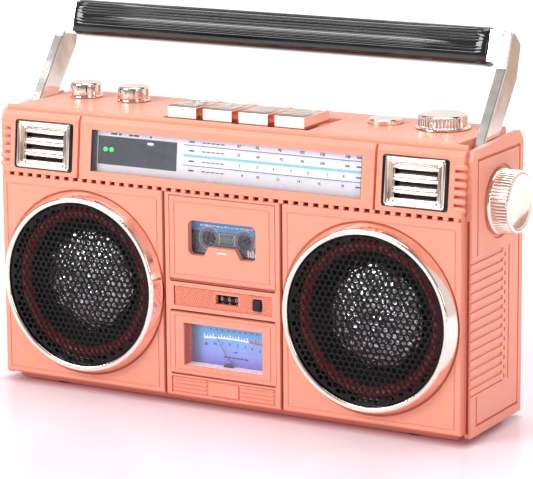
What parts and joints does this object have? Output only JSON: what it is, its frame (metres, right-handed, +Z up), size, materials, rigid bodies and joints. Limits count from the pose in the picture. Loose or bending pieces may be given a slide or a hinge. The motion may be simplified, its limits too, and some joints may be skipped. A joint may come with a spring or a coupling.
{
  "type": "cassette player",
  "caption": "Small retro radio cassette player with twin round speakers, tip-out cassette door, dial, needle meter and folding handle.",
  "frame": {"origin": "on the plane that the rubber feet stand on, half way across the cabinet", "axes": "+Z up, -Y out of the front, +X towards the tuning knob"},
  "size_m": [0.2406, 0.063, 0.1675],
  "materials": {
    "pink_plastic": "satin salmon pink moulding",
    "rose_chrome": "rose gold tinted chrome",
    "black_plastic": "black moulding",
    "black_mesh": "black enamelled mesh",
    "clear_plastic": "clear",
    "dial_silver": "printed silver plate",
    "rubber": "matt",
    "steel": "plain",
    "brass": "turned",
    "board_green": "circuit board",
    "cell_wrap": "shrink wrap",
    "green_light": "lit",
    "meter_blue": "backlit printed card",
    "needle_red": "painted",
    "smoke_plastic": "smoke",
    "cone_paper": "pressed paper with a dark red surround"
  },
  "bodies": {
    "cabinet": {"front_cabinet": "pink_plastic", "top_deck": "pink_plastic", "rear_cover": "pink_plastic", "base_plinth": "pink_plastic", "rubber_feet": "rubber", "case_screws": "steel", "dial_plate": "dial_silver", "dial_window": "clear_plastic", "indicator_lights": "green_light", "deck_chassis": "steel", "drive_belt": "rubber", "tape_head": "steel", "motor": "steel", "meter_bezel": "pink_plastic", "meter_face": "meter_blue", "key_shaft": "steel", "batteries": "cell_wrap", "circuit_board": "board_green", "left_cheek": "pink_plastic", "left_vent_trim": "rose_chrome", "left_speaker_ring": "rose_chrome", "left_speaker_grille": "black_mesh", "left_speaker_basket": "steel", "left_speaker_cone": "cone_paper", "right_cheek": "pink_plastic", "right_vent_trim": "rose_chrome", "right_speaker_ring": "rose_chrome", "right_speaker_grille": "black_mesh", "right_speaker_basket": "steel", "right_speaker_cone": "cone_paper"},
    "handle": {"left_handle_arm": "rose_chrome", "right_handle_arm": "rose_chrome", "handle_grip": "black_plastic"},
    "door": {"cassette_door": "pink_plastic", "door_window": "clear_plastic", "cassette_holder": "black_plastic", "cassette_shell": "smoke_plastic"},
    "supply_reel": {"supply_reel": "smoke_plastic"},
    "take_up_reel": {"take_up_reel": "smoke_plastic"},
    "supply_spindle": {"supply_spindle": "black_plastic"},
    "take_up_spindle": {"take_up_spindle": "black_plastic"},
    "flywheel": {"capstan_flywheel": "brass"},
    "pulley": {"motor_pulley": "brass"},
    "roller": {"pinch_roller": "rubber"},
    "counter_hundreds": {"hundreds_wheel": "black_plastic"},
    "counter_tens": {"tens_wheel": "black_plastic"},
    "counter_units": {"units_wheel": "black_plastic"},
    "reset_button": {"reset_button": "black_plastic"},
    "needle": {"meter_needle": "needle_red"},
    "record_key": {"record_key": "rose_chrome"},
    "play_key": {"play_key": "rose_chrome"},
    "wind_key": {"wind_key": "rose_chrome"},
    "stop_key": {"stop_key": "rose_chrome"},
    "volume_knob": {"volume_knob": "rose_chrome"},
    "tone_knob": {"tone_knob": "rose_chrome"},
    "band_knob": {"band_knob": "rose_chrome"},
    "power_button": {"power_button": "rose_chrome"},
    "tuning_knob": {"tuning_knob": "rose_chrome"},
    "pointer": {"tuning_pointer": "needle_red"},
    "battery_door": {"battery_door": "pink_plastic"}
  },
  "joints": [
    {"name": "handle_fold", "type": "hinge", "parent": "cabinet", "child": "handle", "pos_m": [0, -0.0039, 0.1153], "axis": [-1, 0, 0], "range_deg": [-33, 54]},
    {"name": "cassette_door_tip", "type": "hinge", "parent": "cabinet", "child": "door", "pos_m": [0, -0.026, 0.0574], "axis": [1, 0, 0], "range_deg": [0, 28]},
    {"name": "flywheel_turn", "type": "hinge", "parent": "cabinet", "child": "flywheel", "pos_m": [0.014, -0.0095, 0.0615], "axis": [0, -1, 0], "continuous": true},
    {"name": "take_up_spindle_turn", "type": "hinge", "parent": "cabinet", "child": "take_up_spindle", "pos_m": [0.0088, -0.012, 0.075], "axis": [0, -1, 0], "continuous": true},
    {"name": "supply_spindle_turn", "type": "hinge", "parent": "cabinet", "child": "supply_spindle", "pos_m": [-0.0088, -0.012, 0.075], "axis": [0, -1, 0], "continuous": true},
    {"name": "take_up_reel_turn", "type": "hinge", "parent": "door", "child": "take_up_reel", "pos_m": [0.0088, -0.018, 0.075], "axis": [0, -1, 0], "continuous": true},
    {"name": "supply_reel_turn", "type": "hinge", "parent": "door", "child": "supply_reel", "pos_m": [-0.0088, -0.018, 0.075], "axis": [0, -1, 0], "continuous": true},
    {"name": "pinch_roller_turn", "type": "hinge", "parent": "cabinet", "child": "roller", "pos_m": [0.014, -0.014, 0.0577], "axis": [0, -1, 0], "continuous": true},
    {"name": "motor_pulley_turn", "type": "hinge", "parent": "cabinet", "child": "pulley", "pos_m": [-0.016, -0.0095, 0.066], "axis": [0, -1, 0], "continuous": true},
    {"name": "counter_units_turn", "type": "hinge", "parent": "cabinet", "child": "counter_units", "pos_m": [0.0055, -0.0202, 0.0494], "axis": [1, 0, 0], "continuous": true},
    {"name": "counter_tens_turn", "type": "hinge", "parent": "cabinet", "child": "counter_tens", "pos_m": [0.0019, -0.0202, 0.0494], "axis": [1, 0, 0], "continuous": true},
    {"name": "counter_hundreds_turn", "type": "hinge", "parent": "cabinet", "child": "counter_hundreds", "pos_m": [-0.0017, -0.0202, 0.0494], "axis": [1, 0, 0], "continuous": true},
    {"name": "reset_button_press", "type": "slide", "parent": "cabinet", "child": "reset_button", "axis": [0, 1, 0], "range_m": [0, 0.0012], "stiffness_N_per_m": 400, "springref_m": -0.0006},
    {"name": "needle_swing", "type": "hinge", "parent": "cabinet", "child": "needle", "pos_m": [0, -0.0214, 0.0206], "axis": [0, 1, 0], "range_deg": [-13, 77], "stiffness_Nm_per_rad": 0.0002},
    {"name": "volume_turn", "type": "hinge", "parent": "cabinet", "child": "volume_knob", "pos_m": [0.086, 0.011, 0.1255], "axis": [0, 0, 1], "range_deg": [-140, 140]},
    {"name": "tone_turn", "type": "hinge", "parent": "cabinet", "child": "tone_knob", "pos_m": [-0.0672, 0.011, 0.1255], "axis": [0, 0, 1], "range_deg": [-140, 140]},
    {"name": "band_turn", "type": "hinge", "parent": "cabinet", "child": "band_knob", "pos_m": [-0.0925, 0.011, 0.1255], "axis": [0, 0, 1], "range_deg": [-45, 45]},
    {"name": "power_press", "type": "slide", "parent": "cabinet", "child": "power_button", "axis": [0, 0, -1], "range_m": [0, 0.0011], "stiffness_N_per_m": 800, "springref_m": -0.0006},
    {"name": "tuning_turn", "type": "hinge", "parent": "cabinet", "child": "tuning_knob", "pos_m": [0.1157, 0.0046, 0.0983], "axis": [1, 0, 0], "range_deg": [0, 1080]},
    {"name": "pointer_travel", "type": "slide", "parent": "cabinet", "child": "pointer", "axis": [1, 0, 0], "range_m": [-0.0861, 0]},
    {"name": "battery_door_open", "type": "hinge", "parent": "cabinet", "child": "battery_door", "pos_m": [0, 0.02615, 0.0114], "axis": [-1, 0, 0], "range_deg": [0, 85]},
    {"name": "record_key_press", "type": "hinge", "parent": "cabinet", "child": "record_key", "pos_m": [0, 0.0011, 0.1194], "axis": [1, 0, 0], "range_deg": [0, 4.5], "stiffness_Nm_per_rad": 0.4, "springref_deg": -6.88},
    {"name": "play_key_press", "type": "hinge", "parent": "cabinet", "child": "play_key", "pos_m": [0, 0.0011, 0.1194], "axis": [1, 0, 0], "range_deg": [0, 4.5], "stiffness_Nm_per_rad": 0.4, "springref_deg": -6.88},
    {"name": "wind_key_press", "type": "hinge", "parent": "cabinet", "child": "wind_key", "pos_m": [0, 0.0011, 0.1194], "axis": [1, 0, 0], "range_deg": [0, 4.5], "stiffness_Nm_per_rad": 0.4, "springref_deg": -6.88},
    {"name": "stop_key_press", "type": "hinge", "parent": "cabinet", "child": "stop_key", "pos_m": [0, 0.0011, 0.1194], "axis": [1, 0, 0], "range_deg": [0, 4.5], "stiffness_Nm_per_rad": 0.4, "springref_deg": -6.88}
  ],
  "couplings": [
    {"joint": "take_up_spindle_turn", "follows": "flywheel_turn", "ratio": 0.12903},
    {"joint": "take_up_reel_turn", "follows": "flywheel_turn", "ratio": 0.12903},
    {"joint": "supply_spindle_turn", "follows": "flywheel_turn", "ratio": 0.093023},
    {"joint": "supply_reel_turn", "follows": "flywheel_turn", "ratio": 0.093023},
    {"joint": "pinch_roller_turn", "follows": "flywheel_turn", "ratio": -0.30769},
    {"joint": "motor_pulley_turn", "follows": "flywheel_turn", "ratio": 4.8182},
    {"joint": "counter_units_turn", "follows": "flywheel_turn", "ratio": 0.006452},
    {"joint": "counter_tens_turn", "follows": "flywheel_turn", "ratio": 0.000645},
    {"joint": "counter_hundreds_turn", "follows": "flywheel_turn", "ratio": 0.0000645},
    {"joint": "pointer_travel", "follows": "tuning_turn", "m_per_rad": -0.0045624}
  ]
}
